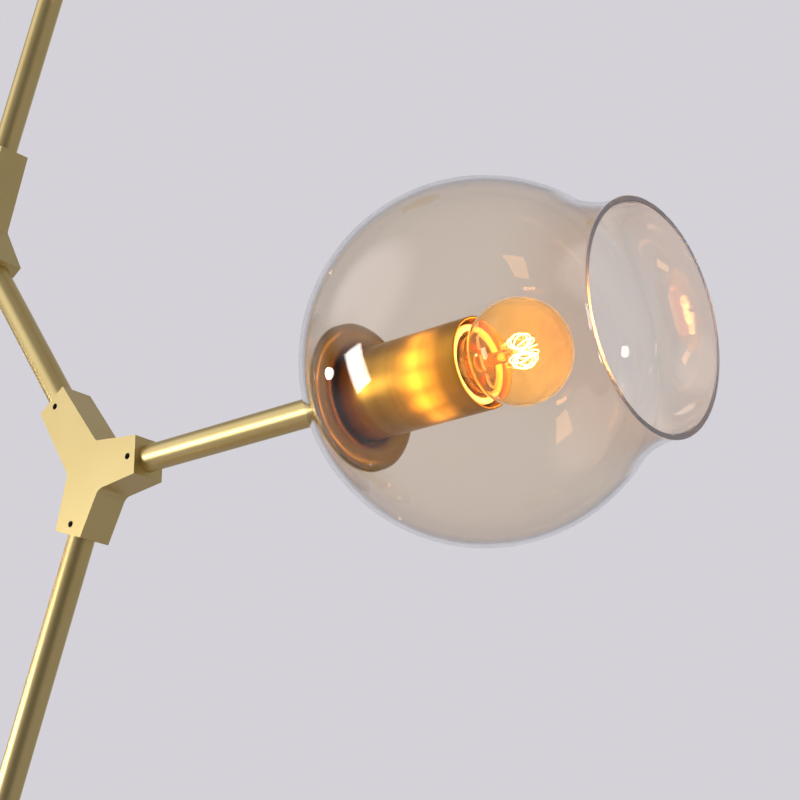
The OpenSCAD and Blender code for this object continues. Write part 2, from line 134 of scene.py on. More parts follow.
def add_camera():
    az, el, roll = (math.radians(a) for a in (VIEW_AZIMUTH, VIEW_ELEVATION, VIEW_ROLL))
    back = Vector((math.sin(az) * math.cos(el), -math.cos(az) * math.cos(el), math.sin(el)))
    level = Vector((math.cos(az), math.sin(az), 0))
    plumb = back.cross(level)
    right = level * math.cos(roll) + plumb * math.sin(roll)
    up = plumb * math.cos(roll) - level * math.sin(roll)
    eye = LOWER_BLOCK - BLOCK_RIGHT * right - BLOCK_UP * up + BLOCK_DEPTH * back
    camera = in_scene("camera", bpy.data.cameras.new("camera"))
    turn = Matrix((right, up, back)).transposed().to_4x4()
    camera.matrix_world = Matrix.Translation(eye * MM) @ turn
    camera.data.lens = LENS_MM
    camera.data.sensor_width = SENSOR_MM
    camera.data.clip_start = 0.01
    bpy.context.scene.camera = camera
    return camera, right, up, back


camera, view_right, view_up, view_back = add_camera()
print("camera at, m:", [round(c, 3) for c in camera.matrix_world.translation])

# %% [markdown]
# ## Helpers for materials
# Colours are written as the hex values that a picture editor shows, and one function turns
# them to the linear light that the renderer works in. One small function adds a node. It
# sets each input that is given as a value, and wires each one that is given as a socket,
# or as a node, whose first working output it takes. So each material below reads as a
# short recipe.

# %% Material helpers


def linear(hex_code):
    parts = [int(hex_code[i:i + 2], 16) / 255 for i in (1, 3, 5)]
    light = [p / 12.92 if p <= 0.04045 else ((p + 0.055) / 1.055) ** 2.4 for p in parts]
    return (*light, 1.0)


def add(tree, kind, inputs=None, **settings):
    """A node with its settings, and its inputs set to values or wired to other nodes."""
    node = tree.nodes.new(kind)
    for name, value in settings.items():
        setattr(node, name, value)
    for key, value in (inputs or {}).items():
        if isinstance(value, bpy.types.Node):
            value = next(socket for socket in value.outputs if socket.enabled)
        if isinstance(value, bpy.types.NodeSocket):
            tree.links.new(value, node.inputs[key])
        else:
            node.inputs[key].default_value = value
    return node


def new_material(name):
    """A material, its empty tree, and the socket that tells where a point lies."""
    material = bpy.data.materials.new(name)
    material.use_nodes = True
    tree = material.node_tree
    tree.nodes.clear()
    return material, tree, add(tree, "ShaderNodeTexCoord").outputs["Object"]


def spots(size_mm):
    """Scale of a noise texture, in object space, whose spots are about this wide."""
    return 1.0 / (size_mm * MM)


print("noise scale for spots of 1 mm:", spots(1))

# %% [markdown]
# ## Satin gold: bead-blasted, anodised aluminium
# The blocks, rods, caps and canopy are one soft champagne gold. Bead blasting leaves a
# very fine matt grain, and the dyed oxide over it keeps the metal's own reflection but
# spreads it. So this is a full metal with middling roughness. The grain is really under
# 0.1 mm, and is drawn at 0.35 mm so that it shows at all. A broad, faint change of tone
# stands for handling.

# %% Satin gold
GOLD_LIGHT = "#E2CE93"
GOLD_DEEP = "#D3BB78"
BLAST_GRAIN_MM = 0.35
HANDLED_MM = 40


def satin_gold():
    material, tree, place = new_material("satin_gold_anodised")
    tone = add(tree, "ShaderNodeTexNoise",
               {"Vector": place, "Scale": spots(HANDLED_MM), "Detail": 3.0})
    grain = add(tree, "ShaderNodeTexNoise",
                {"Vector": place, "Scale": spots(BLAST_GRAIN_MM), "Detail": 2.0})
    colour = add(tree, "ShaderNodeMix",
                 {"Factor": tone, "A": linear(GOLD_LIGHT), "B": linear(GOLD_DEEP)},
                 data_type="RGBA")
    rough = add(tree, "ShaderNodeMapRange", {"Value": grain, "To Min": 0.30, "To Max": 0.42})
    bump = add(tree, "ShaderNodeBump",
               {"Height": grain, "Strength": 0.12, "Distance": 0.03 * MM})
    surface = add(tree, "ShaderNodeBsdfPrincipled",
                  {"Metallic": 1.0, "Base Color": colour, "Roughness": rough, "Normal": bump})
    add(tree, "ShaderNodeOutputMaterial", {"Surface": surface})
    return material


SATIN_GOLD = satin_gold()
print("made", SATIN_GOLD.name)

# %% [markdown]
# ## Turned brass: polished round on the lathe
# The cup and the domed ring are spun brass, finished with an abrasive pad while they turn,
# so fine lines run round them and a highlight is drawn out along the axis. Each head has
# its own direction, so the material works out how far a point lies along the head's axis
# and feeds that one number to a stretched noise. The lines are about 0.4 mm apart.

# %% Turned brass
BRASS_LIGHT = "#D2AC48"
BRASS_DEEP = "#A0741C"
TURNED_LINE_MM = 0.4
TURNED_BAND_MM = 7


def measured_in_head(tree, place, head):
    """Where a point lies from the globe's centre, and how far along the head's axis."""
    from_centre = add(tree, "ShaderNodeVectorMath", {0: place, 1: GLOBE_AT[head] * MM},
                      operation="SUBTRACT")
    depth = add(tree, "ShaderNodeVectorMath", {0: from_centre, 1: along(HEAD_TURN[head], 1.0)},
                operation="DOT_PRODUCT")
    return from_centre, depth


def turned_brass(head):
    material, tree, place = new_material("turned_brass_" + head)
    from_centre, depth = measured_in_head(tree, place, head)
    around = add(tree, "ShaderNodeVectorMath", {0: along(HEAD_TURN[head], 1.0), 1: from_centre},
                 operation="CROSS_PRODUCT")
    radius = add(tree, "ShaderNodeVectorMath", {0: around}, operation="LENGTH")
    run = add(tree, "ShaderNodeMath", {0: depth, 1: radius}, operation="ADD")
    lines = add(tree, "ShaderNodeTexNoise",
                {"W": run, "Scale": spots(TURNED_LINE_MM), "Detail": 4.0}, noise_dimensions="1D")
    bands = add(tree, "ShaderNodeTexNoise",
                {"W": run, "Scale": spots(TURNED_BAND_MM), "Detail": 2.0}, noise_dimensions="1D")
    colour = add(tree, "ShaderNodeMix",
                 {"Factor": bands, "A": linear(BRASS_LIGHT), "B": linear(BRASS_DEEP)},
                 data_type="RGBA")
    rough = add(tree, "ShaderNodeMapRange", {"Value": lines, "To Min": 0.24, "To Max": 0.40})
    bump = add(tree, "ShaderNodeBump",
               {"Height": lines, "Strength": 0.35, "Distance": 0.02 * MM})
    surface = add(tree, "ShaderNodeBsdfPrincipled",
                  {"Metallic": 1.0, "Anisotropic": 0.6, "Base Color": colour,
                   "Roughness": rough, "Normal": bump, "Tangent": around})
    add(tree, "ShaderNodeOutputMaterial", {"Surface": surface})
    return material


TURNED_BRASS = {head: turned_brass(head) for head in HEAD_TURN}
print("made", [m.name for m in TURNED_BRASS.values()])

# %% [markdown]
# ## Blown glass with an amber lustre
# The cut rim of the real shade is grey, so the glass itself is clear and its amber is a
# thin metal film, fired on inside. The two faces of the wall therefore differ. The outer
# face is plain fire-polished glass, with the faint waviness of blown work. The inner face
# colours what passes through it, a little more in the neck and the mouth, and also mirrors
# a little, which is why the shade shows the cup and the other globes. Where glass is seen
# edge-on, a painted grey shade is mixed into its colour by a weight for how far the surface
# turns away; it stands in for the darker room that the edges bend into view. A shadow ray
# passes as through a coloured filter, which keeps the studio light on the pieces inside.

# %% Blown glass
GLASS_IOR = 1.5
CLEAR = linear("#FFFFFF")
# Painted shade: the grey mixed into the glass where it is seen edge-on.
EDGE_SHADE_GREY = "#C6C6CA"
EDGE_SHADE_FROM = 0.84
SHADE_WAVE_MM = 30
LUSTRE_TINT = "#FAEBD6"
NECK_TINT = "#EBCDB2"
NECK_FROM, NECK_TO = 42, 72
LUSTRE_FILTER = "#F8E9D0"
LUSTRE_MIRROR = "#D9B48A"
MIRROR_SHARE = 0.035


def blown_glass(tree, place, wave_mm, tint=CLEAR, shadow_tint=CLEAR):
    """Glass with wavy faces. The tint is a colour or a node that gives one."""
    waves = add(tree, "ShaderNodeTexNoise",
                {"Vector": place, "Scale": spots(wave_mm), "Detail": 1.0})
    bump = add(tree, "ShaderNodeBump",
               {"Height": waves, "Strength": 0.25, "Distance": 0.12 * MM})
    # Painted shade at the outline: grey mixed in as the surface turns edge-on.
    weight = add(tree, "ShaderNodeLayerWeight", {"Blend": 0.5})
    edge = add(tree, "ShaderNodeMapRange",
               {"Value": weight.outputs["Facing"], "From Min": EDGE_SHADE_FROM, "From Max": 1.0},
               interpolation_type="SMOOTHSTEP")
    colour = add(tree, "ShaderNodeMix", {"Factor": edge, "A": tint, "B": linear(EDGE_SHADE_GREY)},
                 data_type="RGBA")
    glass = add(tree, "ShaderNodeBsdfPrincipled",
                {"Roughness": 0.0, "IOR": GLASS_IOR, "Transmission Weight": 1.0,
                 "Base Color": colour, "Normal": bump})
    filtered = add(tree, "ShaderNodeBsdfTransparent", {"Color": shadow_tint})
    path = add(tree, "ShaderNodeLightPath")
    return add(tree, "ShaderNodeMixShader",
               {0: path.outputs["Is Shadow Ray"], 1: glass, 2: filtered})


def clear_glass():
    material, tree, place = new_material("clear_blown_glass")
    surface = blown_glass(tree, place, SHADE_WAVE_MM)
    add(tree, "ShaderNodeOutputMaterial", {"Surface": surface})
    return material


def amber_lustre(head):
    """The film inside a shade, tinted deeper in the neck and the mouth."""
    material, tree, place = new_material("amber_lustre_film_" + head)
    _, depth = measured_in_head(tree, place, head)
    neck = add(tree, "ShaderNodeMapRange",
               {"Value": depth, "From Min": NECK_FROM * MM, "From Max": NECK_TO * MM},
               interpolation_type="SMOOTHSTEP")
    tint = add(tree, "ShaderNodeMix",
               {"Factor": neck, "A": linear(LUSTRE_TINT), "B": linear(NECK_TINT)},
               data_type="RGBA")
    film = add(tree, "ShaderNodeBsdfPrincipled",
               {"Base Color": linear(LUSTRE_MIRROR), "Metallic": 1.0, "Roughness": 0.03})
    glass = blown_glass(tree, place, SHADE_WAVE_MM, tint, linear(LUSTRE_FILTER))
    surface = add(tree, "ShaderNodeMixShader", {0: MIRROR_SHARE, 1: glass, 2: film})
    add(tree, "ShaderNodeOutputMaterial", {"Surface": surface})
    return material


# %% [markdown]
# ## Bulb glass and its dust
# The bulb is thin amber glass. A trace of dust on it catches the light of the filament and
# makes the whole ball glow, most of all at the crown. A translucent layer does that, since
# it is lit from behind. Its share is broken up by a fine noise, and grows along the axis.

# %% Bulb glass
BULB_TINT = "#FDE4B6"
BULB_FILTER = "#FFF2DC"
BULB_WAVE_MM = 12
DUST_COLOUR = "#FFE8B4"
DUST_SPECK_MM = 0.9
DUST_FROM, DUST_TO = 2, 34


def bulb_glass_with_dust(head):
    material, tree, place = new_material("amber_bulb_glass_" + head)
    _, depth = measured_in_head(tree, place, head)
    crown = add(tree, "ShaderNodeMapRange",
                {"Value": depth, "From Min": DUST_FROM * MM, "From Max": DUST_TO * MM,
                 "To Min": 0.10, "To Max": 1.4})
    specks = add(tree, "ShaderNodeTexNoise",
                 {"Vector": place, "Scale": spots(DUST_SPECK_MM), "Detail": 3.0})
    share = add(tree, "ShaderNodeMapRange",
                {"Value": specks, "From Min": 0.35, "From Max": 0.8,
                 "To Min": 0.0015, "To Max": 0.014})
    amount = add(tree, "ShaderNodeMath", {0: share, 1: crown}, operation="MULTIPLY")
    dust = add(tree, "ShaderNodeBsdfTranslucent", {"Color": linear(DUST_COLOUR)})
    glass = blown_glass(tree, place, BULB_WAVE_MM, linear(BULB_TINT), linear(BULB_FILTER))
    surface = add(tree, "ShaderNodeMixShader", {0: amount, 1: glass, 2: dust})
    add(tree, "ShaderNodeOutputMaterial", {"Surface": surface})
    return material


CLEAR_GLASS = clear_glass()
AMBER_LUSTRE = {head: amber_lustre(head) for head in HEAD_TURN}
BULB_GLASS = {head: bulb_glass_with_dust(head) for head in HEAD_TURN}
print("made", CLEAR_GLASS.name, [m.name for m in (*AMBER_LUSTRE.values(), *BULB_GLASS.values())])

# %% [markdown]
# ## Ground rim
# The mouth of the shade is cut and ground flat, then lightly polished. Ground glass
# scatters, so the edge reads as a grey line round clear glass. It is the same glass with a
# rough surface, over a little grey of its own.

# %% Ground rim
RIM_GREY = "#A9ADB6"
RIM_GRIT_MM = 0.5


def ground_rim():
    material, tree, place = new_material("ground_glass_rim")
    grit = add(tree, "ShaderNodeTexNoise",
               {"Vector": place, "Scale": spots(RIM_GRIT_MM), "Detail": 3.0})
    rough = add(tree, "ShaderNodeMapRange", {"Value": grit, "To Min": 0.25, "To Max": 0.5})
    bump = add(tree, "ShaderNodeBump", {"Height": grit, "Strength": 0.2, "Distance": 0.03 * MM})
    surface = add(tree, "ShaderNodeBsdfPrincipled",
                  {"Base Color": linear(RIM_GREY), "IOR": GLASS_IOR, "Transmission Weight": 0.5,
                   "Roughness": rough, "Normal": bump})
    add(tree, "ShaderNodeOutputMaterial", {"Surface": surface})
    return material


GROUND_RIM = ground_rim()
print("made", GROUND_RIM.name)

# %% [markdown]
# ## Glowing tungsten
# The filament is the light of the bulb. It is an emitter with the warm white of a dimmed
# lamp, strong enough to light the cup and the domed ring from inside. A slow change along
# the wire stands for cooler stretches near its hooks.

# %% Filament
FILAMENT_HOT = "#FFE4B4"
FILAMENT_WARM = "#FFC678"
FILAMENT_STRENGTH = 900.0
FILAMENT_DRIFT_MM = 6


def glowing_tungsten():
    material, tree, place = new_material("glowing_tungsten")
    heat = add(tree, "ShaderNodeTexNoise",
               {"Vector": place, "Scale": spots(FILAMENT_DRIFT_MM), "Detail": 1.0})
    colour = add(tree, "ShaderNodeMix",
                 {"Factor": heat, "A": linear(FILAMENT_WARM), "B": linear(FILAMENT_HOT)},
                 data_type="RGBA")
    glow = add(tree, "ShaderNodeEmission", {"Strength": FILAMENT_STRENGTH, "Color": colour})
    add(tree, "ShaderNodeOutputMaterial", {"Surface": glow})
    return material


GLOWING_TUNGSTEN = glowing_tungsten()
print("made", GLOWING_TUNGSTEN.name)

# %% [markdown]
# ## The plain materials inside
# Glazed porcelain, nickel-plated caps, zinc-plated steel, moulded plastic, silicone and
# blackened screws all share one recipe: a colour that drifts between two close values, a
# roughness that drifts with it, and a bump at the size of their own grain. What differs is
# written in one table, with the grain and the depth of the bump in millimetres. Metals keep
# the default IOR. The orange inside the bulb caps uses the same recipe, and is painted warm
# light: it stands for the filament's glow on the brass.

# %% Plain materials


def plain(name, light, deep, metallic, rough_from, rough_to, grain_mm, bump_mm, ior=None):
    material, tree, place = new_material(name)
    grain = add(tree, "ShaderNodeTexNoise",
                {"Vector": place, "Scale": spots(grain_mm), "Detail": 4.0})
    colour = add(tree, "ShaderNodeMix", {"Factor": grain, "A": linear(light), "B": linear(deep)},
                 data_type="RGBA")
    rough = add(tree, "ShaderNodeMapRange",
                {"Value": grain, "To Min": rough_from, "To Max": rough_to})
    bump = add(tree, "ShaderNodeBump",
               {"Height": grain, "Strength": 0.3, "Distance": bump_mm * MM})
    own_ior = {"IOR": ior} if ior else {}
    surface = add(tree, "ShaderNodeBsdfPrincipled",
                  {"Metallic": metallic, "Base Color": colour, "Roughness": rough,
                   "Normal": bump, **own_ior})
    add(tree, "ShaderNodeOutputMaterial", {"Surface": surface})
    return material


PORCELAIN = plain("glazed_porcelain", "#F3E9D2", "#EADDC0", 0.0, 0.12, 0.25, 12, 0.02, 1.5)
BRIGHT_BRASS = plain("drawn_brass_shell", "#E3B968", "#C99B4C", 1.0, 0.15, 0.3, 2, 0.01)
NICKEL = plain("nickel_plated_cap", "#C9C6BD", "#B3B0A8", 1.0, 0.18, 0.32, 1.5, 0.01)
ZINC = plain("zinc_plated_steel", "#C4C8CC", "#A5AAB0", 1.0, 0.25, 0.45, 5, 0.02)
NYLON = plain("moulded_nylon", "#F1F1EE", "#E6E6E2", 0.0, 0.35, 0.5, 0.8, 0.02, 1.53)
SHEATH = plain("extruded_sheath", "#ECE8DE", "#DFD9CC", 0.0, 0.4, 0.55, 1.5, 0.02, 1.53)
SILICONE = plain("cast_silicone", "#D8D4CA", "#CBC6BB", 0.0, 0.45, 0.6, 1.0, 0.02, 1.41)
BLACKENED = plain("blackened_screw", "#33302B", "#211E1A", 1.0, 0.35, 0.55, 0.6, 0.02)
# Painted warm light: the orange inside the bulb cap stands for the filament's light on its brass.
PAINTED_WARM_LIGHT_INSIDE = plain("painted_warm_light_inside", "#E07A40", "#C85F2C", 0.6, 0.25, 0.4, 3, 0.01)
print("made 9 plain materials")

# %% [markdown]
# ## Turning pieces on the lathe
# Nearly everything here is round, because it was blown, spun or turned. So one helper does
# what a lathe does: it takes the outline of half a piece as (radius, height) points in
# millimetres and sweeps it round the axis. A screw modifier could do that too, but its
# seam and its finishes are harder to steer. A point may carry a third number, the depth of
# a screw thread, which makes the outline wind up and down as it goes round.

# %% Lathe
SEGMENTS = 192
THREAD_PITCH = 3.62
SHARP_ANGLE = 35


def even(start, end, steps):
    """Evenly spaced values, both ends with them."""
    return [start + (end - start) * i / steps for i in range(steps + 1)]


def arc(centre, radius, start, end, steps):
    angles = [math.radians(a) for a in even(start, end, steps)]
    return [(centre[0] + radius * math.cos(a), centre[1] + radius * math.sin(a)) for a in angles]


def ring_of(point, segments):
    radius, height = point[0], point[1]
    depth = point[2] if len(point) > 2 else 0.0
    if radius < 1e-6:
        return [(0.0, 0.0, height)]
    ring = []
    for step in range(segments):
        angle = 2 * math.pi * step / segments
        here = radius + depth / 2 * math.sin(2 * math.pi * height / THREAD_PITCH - angle)
        ring.append((here * math.cos(angle), here * math.sin(angle), height))
    return ring


def finished_mesh(name, verts, faces, place, finishes, face_finish=None):
    mesh = bpy.data.meshes.new(name)
    mesh.from_pydata(verts, [], faces)
    mesh.transform(place)
    shape = bmesh.new()
    shape.from_mesh(mesh)
    bmesh.ops.recalc_face_normals(shape, faces=shape.faces)
    shape.to_mesh(mesh)
    shape.free()
    for finish in finishes:
        mesh.materials.append(finish)
    if face_finish:
        mesh.polygons.foreach_set("material_index", face_finish)
    mesh.polygons.foreach_set("use_smooth", [True] * len(mesh.polygons))
    mesh.set_sharp_from_angle(angle=math.radians(SHARP_ANGLE))
    return in_scene(name, mesh)


def turned(name, place, runs, segments=SEGMENTS):
    """Closed outline as runs of points, each run with its own finish."""
    finishes = list(dict.fromkeys(finish for _, finish in runs))
    outline = [(point, finishes.index(finish)) for points, finish in runs for point in points]
    verts, rings = [], []
    for point, _ in outline:
        ring = ring_of(point, segments)
        rings.append([len(verts) + i % len(ring) for i in range(segments)])
        verts += ring
    faces, face_finish = [], []
    for i, (_, finish) in enumerate(outline):
        low, high = rings[i], rings[(i + 1) % len(rings)]
        for s in range(segments):
            t = (s + 1) % segments
            face = list(dict.fromkeys((low[s], high[s], high[t], low[t])))
            if len(face) > 2:
                faces.append(face)
                face_finish.append(finish)
    return finished_mesh(name, verts, faces, place, finishes, face_finish)


def fit(piece, body, node):
    """The piece rides with a body of the frame and stands in for one of its solids."""
    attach(piece, body)
    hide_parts(node)
    return piece


def on_head(head, name, runs, solid, body=None, segments=SEGMENTS):
    """A turned piece of one head, fitted in the place of that head's solid."""
    piece = turned(head + name, HEAD_PLACE[head], runs, segments)
    return fit(piece, body or HEAD_BODY[head], head + solid)


print("lathe ready, steps round a piece:", SEGMENTS)

# %% [markdown]
# ## Glass shades
# Each shade is blown: a globe with a short neck that flares into a cut mouth, and a hole
# ground in the back for the fitting. The outline is three tangent circles, the same ones
# outside and, two millimetres in, inside. Both walls are modelled, because glass with only
# one skin bends light like a solid ball. The flat cut edge takes the ground finish. Each
# shade lies on soft gaskets in its round seat, so it leans a degree, mostly as its weight
# pulls it.

# %% Shades
GLOBE_R, GLASS_T = 75.0, 2.0
NECK_CENTRE, NECK_R = (96.93, 78.5), 49.73
LIP_CENTRE, LIP_R = (52.29, 78.5), 5.09
TANGENT = 39.0
RIM_Z = 80.7
RIM_EASE = (0.05, 0.25)
RIM_FLAT_EASE = 0.3
BACK_HOLE_R = 24.0
GLASS_LEAN = {"right": (0.8, 0.9), "drop": (0.3, -0.4), "left": (-0.8, 0.5)}


def glass_wall(inset):
    globe = GLOBE_R - inset
    neck, lip = NECK_R + inset, LIP_R + inset
    back = -math.degrees(math.acos(BACK_HOLE_R / globe))
    rim = math.degrees(math.asin((RIM_Z - LIP_CENTRE[1]) / lip))
    return (arc((0, 0), globe, back, TANGENT, 64)
            + arc(NECK_CENTRE, neck, 180 + TANGENT, 180, 32)[1:]
            + arc(LIP_CENTRE, lip, 180, 180 - rim, 6)[1:])


def shade(head):
    outside, inside = glass_wall(0), glass_wall(GLASS_T)
    inside.reverse()
    (out_r, out_z), (in_r, in_z) = outside[-1], inside[0]
    ground = [(out_r - RIM_EASE[0], out_z - RIM_EASE[1]), (out_r - RIM_FLAT_EASE, out_z),
              (in_r + RIM_FLAT_EASE, in_z)]
    inner_edge = [(in_r + RIM_EASE[0], in_z - RIM_EASE[1])]
    runs = [(outside[:-1], CLEAR_GLASS), (ground, GROUND_RIM),
            (inner_edge + inside[1:], AMBER_LUSTRE[head])]
    down, back = (math.radians(a) for a in GLASS_LEAN[head])
    lean = Matrix.Rotation(down, 4, "Y") @ Matrix.Rotation(-back, 4, "X")
    piece = turned(head + "_shade_glass", HEAD_PLACE[head] @ lean, runs)
    return fit(piece, HEAD_BODY[head], head + "_shade")


shades = [shade(head) for head in HEAD_TURN]
print("shades:", [(s.name, len(s.data.polygons)) for s in shades])

# %% [markdown]
# ## Cap behind the glass, and domed ring inside it
# The shade is held between two spun pieces: a thin cap that follows the globe outside, and
# a ring inside, domed where it shows and sunk to a well where the cup stands. Both are
# turned with rounded rims, since a spun edge is always rolled or eased.

# %% Shade fitting
SLEEVE_R = 5.05
CAP_IN_R, CAP_OUT_R, CAP_EDGE_R = 75.8, 77.2, 33.0
CAP_ROLL = ((-0.12, 0.25), (0.0, 0.75))
BOSS_R, BOSS_FOOT = 9.0, 4.0
WELL_BACK, WELL_FLOOR = -72.0, -71.0
WELL_R, WELL_OUT_R = 21.4, 22.4
DOME_CENTRE, DOME_R = (26.4, -68.07), 6.75
SEAT_R = 72.2
DISH_EDGE_R = 32.2


def on_sphere(radius, around):
    return (around, -math.sqrt(radius * radius - around * around))


def outer_cap(head):
    steps = even(BOSS_R + 0.6, CAP_EDGE_R - 0.5, 16)
    behind = [on_sphere(CAP_OUT_R, r) for r in steps]
    rolled = [(CAP_EDGE_R + out, behind[-1][1] + up) for out, up in CAP_ROLL]
    glass_side = [on_sphere(CAP_IN_R, r) for r in reversed([SLEEVE_R + 4] + steps)]
    boss = [(BOSS_R, WELL_BACK - BOSS_FOOT), (BOSS_R, WELL_BACK), (SLEEVE_R, WELL_BACK),
            (SLEEVE_R, BOSS_BACK), (BOSS_R - 0.4, BOSS_BACK), (BOSS_R, BOSS_BACK + 0.3)]
    return on_head(head, "_cap_spun", [(boss + behind + rolled + glass_side, SATIN_GOLD)],
                   "_cap")


def domed_ring(head):
    from_angle = math.degrees(math.acos((DISH_EDGE_R - DOME_CENTRE[0]) / DOME_R))
    to_angle = 180 - math.degrees(math.acos((DOME_CENTRE[0] - WELL_R) / DOME_R))
    dome = arc(DOME_CENTRE, DOME_R, from_angle, to_angle, 28)
    under = [on_sphere(SEAT_R, r) for r in even(WELL_OUT_R, DISH_EDGE_R - 0.15, 8)]
    well = [(WELL_R, WELL_FLOOR), (SLEEVE_R, WELL_FLOOR), (SLEEVE_R, WELL_BACK),
            (WELL_OUT_R, WELL_BACK)]
    return on_head(head, "_ring_domed", [(dome + well + under, TURNED_BRASS[head])],
                   "_dish")


for head in HEAD_TURN:
    outer_cap(head)
    domed_ring(head)
print("caps and domed rings:", 2 * len(HEAD_TURN))

# %% [markdown]
# ## Lamp cup and lampholder
# The cup is a deep drawn sleeve with a thin rounded mouth. Inside it stands the
# lampholder: a glazed porcelain body with a drawn brass screw shell for the bulb. Through
# the mouth one sees the porcelain's face, the narrow dark ring between it and the cup, and
# the shell's rolled thread, so the thread is modelled with its true pitch of 3.62 mm.

# %% Cup, holder and shell
CUP_R, CUP_WALL, CUP_MOUTH = 19.5, 1.0, -0.8
CUP_FLOOR = WELL_FLOOR + 1.2
CUP_CORNER = 1.5
HOLDER_R, HOLDER_HOLE_R = 16.8, 2.5
HOLDER_BACK, HOLDER_FACE = -66.3, -3.0
HOLDER_SOCKET = HOLDER_BACK + 8
HOLDER_CORNER, THROAT_CORNER = 1.2, 0.8
WAIST_BACK, WAIST_FRONT, WAIST_CUT = -50.0, -46.0, 0.6
SHELL_CAVITY_R = 14.05
SHELL_BACK, SHELL_FACE = -36.4, -4.5
SHELL_R, SHELL_BORE = 13.8, 13.45
SHELL_THREAD = (SHELL_BACK + 1.2, 66, 0.4)
THREAD_STEP = 0.45


def thread(radius, start, steps, depth):
    return [(radius, start + THREAD_STEP * i, depth) for i in range(steps)]


def cup(head):
    lip_r = CUP_WALL / 2
    mouth = arc((CUP_R - lip_r, CUP_MOUTH - lip_r), lip_r, 0, 180, 8)
    base = arc((CUP_R - CUP_CORNER, WELL_FLOOR + CUP_CORNER), CUP_CORNER, -90, 0, 6)
    outline = ([(SLEEVE_R, CUP_FLOOR), (SLEEVE_R, WELL_FLOOR)] + base + mouth
               + [(CUP_R - CUP_WALL, CUP_FLOOR)])
    return on_head(head, "_cup_drawn", [(outline, TURNED_BRASS[head])], "_cup")


def lampholder(head):
    front = arc((HOLDER_R - HOLDER_CORNER, HOLDER_FACE - HOLDER_CORNER), HOLDER_CORNER, 0, 90, 6)
    throat = arc((SHELL_CAVITY_R + THROAT_CORNER, HOLDER_FACE - THROAT_CORNER),
                 THROAT_CORNER, 90, 180, 5)
    waist = [(HOLDER_R, WAIST_BACK - WAIST_CUT), (HOLDER_R - WAIST_CUT, WAIST_BACK),
             (HOLDER_R - WAIST_CUT, WAIST_FRONT), (HOLDER_R, WAIST_FRONT + WAIST_CUT)]
    back = [(HOLDER_HOLE_R, HOLDER_SOCKET), (SLEEVE_R, HOLDER_SOCKET), (SLEEVE_R, HOLDER_BACK),
            (HOLDER_R - 1, HOLDER_BACK), (HOLDER_R, HOLDER_BACK + 1)]
    cavity = [(SHELL_CAVITY_R, SHELL_BACK), (HOLDER_HOLE_R, SHELL_BACK)]
    return on_head(head, "_holder_porcelain",
                   [(back + waist + front + throat + cavity, PORCELAIN)],
                   "_lampholder")


def screw_shell(head):
    outside, inside = thread(SHELL_R, *SHELL_THREAD), thread(SHELL_BORE, *SHELL_THREAD)
    inside.reverse()
    outline = ([(SHELL_BORE - 0.05, SHELL_BACK), (SHELL_R, SHELL_BACK)] + outside
               + [(SHELL_R + 0.15, SHELL_FACE), (SHELL_BORE + 0.15, SHELL_FACE)] + inside)
    return on_head(head, "_shell_rolled", [(outline, BRIGHT_BRASS)],
                   "_screw_shell")


for head in HEAD_TURN:
    cup(head)
    lampholder(head)
    screw_shell(head)
print("cups, holders and shells:", 3 * len(HEAD_TURN))

# %% [markdown]
# ## Bulb
# A small round bulb of amber glass: the ball runs by a short fillet into a neck that sits
# in a screw cap. Inside, a drawn glass stem carries a coiled filament bent to a ring. The
# coil is wound point by point along the ring, since a coil is what makes a filament glow
# as a thick bright line. All pieces ride with the bulb, which screws out of its holder.

# %% Bulb glass, cap and stem
BALL_R, BALL_Z = 22.0, 17.9
BULB_WALL = 0.8
BULB_NECK_R, BULB_FOOT = 12.6, -8.3
NECK_FILLET = 4.0
FILLET_R = BULB_NECK_R + NECK_FILLET
FILLET_CENTRE = (FILLET_R, BALL_Z - math.sqrt((BALL_R + NECK_FILLET) ** 2 - FILLET_R ** 2))
FILLET_TURN = math.degrees(math.atan2(BALL_Z - FILLET_CENTRE[1], -FILLET_R))
BULB_CAP_R, BULB_CAP_BORE, BULB_TIP = 13.2, 11.9, -34.9


def bulb_wall(inset):
    fillet = arc(FILLET_CENTRE, NECK_FILLET + inset, 180, FILLET_TURN, 8)
    ball = arc((0, BALL_Z), BALL_R - inset, FILLET_TURN - 180, 90, 56)
    foot, crown = (BULB_NECK_R - inset, BULB_FOOT), (0.0, BALL_Z + BALL_R - inset)
    return [foot] + fillet + ball[1:-1] + [crown]


def bulb_glass(head):
    outside, inside = bulb_wall(0), bulb_wall(BULB_WALL)
    inside.reverse()
    return on_head(head, "_bulb_blown", [(outside + inside, BULB_GLASS[head])],
                   "_bulb_glass", head + "_bulb")


def bulb_cap(head):
    tip = [(0.0, BULB_TIP), (2.6, BULB_TIP), (3.5, BULB_TIP + 0.4), (5.0, -33.9), (9.0, -33.3),
           (11.6, -32.4), (12.4, -31.4)]
    top = [(BULB_CAP_R, -9.2), (BULB_CAP_R, -7.6), (12.75, -7.3), (12.65, -7.3),
           (12.65, BULB_FOOT), (BULB_CAP_BORE, BULB_FOOT)]
    # The cap's inside takes the orange of painted warm light.
    inside = [(BULB_CAP_BORE, -30.3), (0.0, -30.3)]
    runs = [(tip + thread(12.85, -30.6, 46, 0.6) + top, NICKEL), (inside, PAINTED_WARM_LIGHT_INSIDE)]
    return on_head(head, "_bulb_cap_rolled", runs, "_bulb_cap", head + "_bulb")


def bulb_stem(head):
    flare = [(0.0, 0.0), (11.6, 0.0), (9.0, 1.0), (6.2, 2.6), (4.2, 4.8), (3.0, 7.4), (2.6, 10)]
    pinch = [(2.6, -7), (2.2, -5.4), (1.2, -4.2), (0.9, 2.6), (0.7, 3.7), (0.0, 4)]
    outline = [(r, BULB_FOOT + z) for r, z in flare] + [(r, BALL_Z + z) for r, z in pinch]
    return on_head(head, "_bulb_stem_drawn", [(outline, BULB_GLASS[head])],
                   "_bulb_stem", head + "_bulb", 64)


